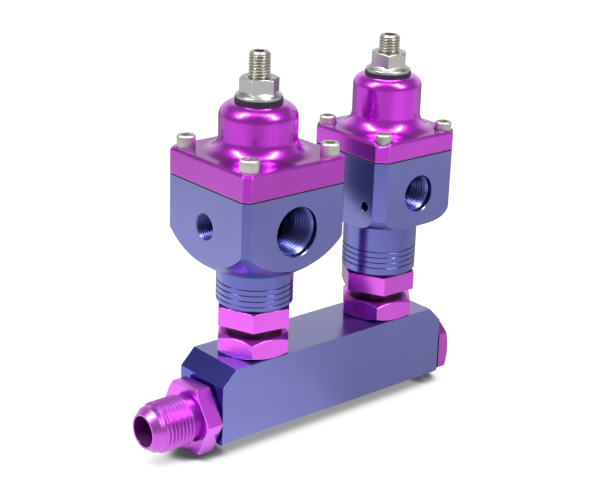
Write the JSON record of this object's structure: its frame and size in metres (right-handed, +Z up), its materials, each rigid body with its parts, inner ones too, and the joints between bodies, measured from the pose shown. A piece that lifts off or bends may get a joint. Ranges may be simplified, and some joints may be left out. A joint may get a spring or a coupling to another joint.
{
  "type": "fuel pressure regulator",
  "caption": "Fuel pressure regulator set: square diaphragm regulators with spring towers and lock-nut adjusters, on swivel couplers over a common inlet log.",
  "frame": {"origin": "centre of the log's underside, midway between the regulators' axes", "axes": "+X along the log away from the inlet, -Y the front that the picture shows, +Z up along the regulators"},
  "size_m": [0.1424, 0.0468, 0.1476],
  "materials": {
    "blue_anodise": "glossy blue anodise",
    "purple_anodise": "glossy purple anodise",
    "plain_aluminium": "machined",
    "stainless": "stainless, satin",
    "zinc_steel": "zinc plated, satin",
    "spring_steel": "bright drawn",
    "brass": "turned",
    "black_rubber": "matt black"
  },
  "bodies": {
    "log": {"log_block": "blue_anodise", "inlet_fitting": "purple_anodise", "inlet_o_ring": "black_rubber", "end_plug": "purple_anodise", "end_plug_o_ring": "black_rubber", "front_coupler_lower": "purple_anodise", "front_log_o_ring": "black_rubber", "front_swivel_wire": "spring_steel", "rear_coupler_lower": "purple_anodise", "rear_log_o_ring": "black_rubber", "rear_swivel_wire": "spring_steel"},
    "front_regulator": {"front_coupler_upper": "purple_anodise", "front_swivel_o_ring": "black_rubber", "front_neck_o_ring": "black_rubber", "front_body": "blue_anodise", "front_valve_seat": "brass", "front_valve_spring": "spring_steel", "front_diaphragm": "black_rubber", "front_main_spring": "spring_steel", "front_cap": "purple_anodise", "front_cap_screws": "stainless", "front_seal_washer": "black_rubber"},
    "front_valve": {"front_valve_poppet": "spring_steel", "front_lower_plate": "plain_aluminium", "front_upper_plate": "plain_aluminium"},
    "front_button": {"front_spring_seat": "plain_aluminium"},
    "front_adjuster": {"front_adjusting_screw": "stainless"},
    "front_nut": {"front_lock_nut": "zinc_steel"},
    "rear_regulator": {"rear_coupler_upper": "purple_anodise", "rear_swivel_o_ring": "black_rubber", "rear_neck_o_ring": "black_rubber", "rear_body": "blue_anodise", "rear_valve_seat": "brass", "rear_valve_spring": "spring_steel", "rear_diaphragm": "black_rubber", "rear_main_spring": "spring_steel", "rear_cap": "purple_anodise", "rear_cap_screws": "stainless", "rear_seal_washer": "black_rubber"},
    "rear_valve": {"rear_valve_poppet": "spring_steel", "rear_lower_plate": "plain_aluminium", "rear_upper_plate": "plain_aluminium"},
    "rear_button": {"rear_spring_seat": "plain_aluminium"},
    "rear_adjuster": {"rear_adjusting_screw": "stainless"},
    "rear_nut": {"rear_lock_nut": "zinc_steel"}
  },
  "joints": [
    {"name": "front_swivel", "type": "hinge", "parent": "log", "child": "front_regulator", "pos_m": [-0.0312, 0, 0.0371], "axis": [0, 0, 1], "continuous": true},
    {"name": "front_valve_lift", "type": "slide", "parent": "front_regulator", "child": "front_valve", "axis": [0, 0, 1], "range_m": [0, 0.0012], "stiffness_N_per_m": 500, "springref_m": -0.002, "deforming": ["front_diaphragm", "front_main_spring", "front_valve_spring"]},
    {"name": "front_screw_travel", "type": "slide", "parent": "front_regulator", "child": "front_button", "axis": [0, 0, 1], "range_m": [-0.005, 0.002], "deforming": ["front_main_spring"]},
    {"name": "front_screw_turn", "type": "hinge", "parent": "front_button", "child": "front_adjuster", "pos_m": [-0.0312, 0, 0.1237], "axis": [0, 0, 1], "range_deg": [-1705, 685]},
    {"name": "front_nut_turn", "type": "hinge", "parent": "front_regulator", "child": "front_nut", "pos_m": [-0.0312, 0, 0.1237], "axis": [0, 0, 1], "range_deg": [0, 180]},
    {"name": "rear_swivel", "type": "hinge", "parent": "log", "child": "rear_regulator", "pos_m": [0.0312, 0, 0.0371], "axis": [0, 0, 1], "continuous": true},
    {"name": "rear_valve_lift", "type": "slide", "parent": "rear_regulator", "child": "rear_valve", "axis": [0, 0, 1], "range_m": [0, 0.0012], "stiffness_N_per_m": 500, "springref_m": -0.002, "deforming": ["rear_diaphragm", "rear_main_spring", "rear_valve_spring"]},
    {"name": "rear_screw_travel", "type": "slide", "parent": "rear_regulator", "child": "rear_button", "axis": [0, 0, 1], "range_m": [-0.005, 0.002], "deforming": ["rear_main_spring"]},
    {"name": "rear_screw_turn", "type": "hinge", "parent": "rear_button", "child": "rear_adjuster", "pos_m": [0.0312, 0, 0.1254], "axis": [0, 0, 1], "range_deg": [-1705, 685]},
    {"name": "rear_nut_turn", "type": "hinge", "parent": "rear_regulator", "child": "rear_nut", "pos_m": [0.0312, 0, 0.1254], "axis": [0, 0, 1], "range_deg": [0, 180]}
  ],
  "couplings": [
    {"joint": "front_screw_turn", "follows": "front_screw_travel", "rad_per_m": 5936.9},
    {"joint": "rear_screw_turn", "follows": "rear_screw_travel", "rad_per_m": 5936.9}
  ]
}
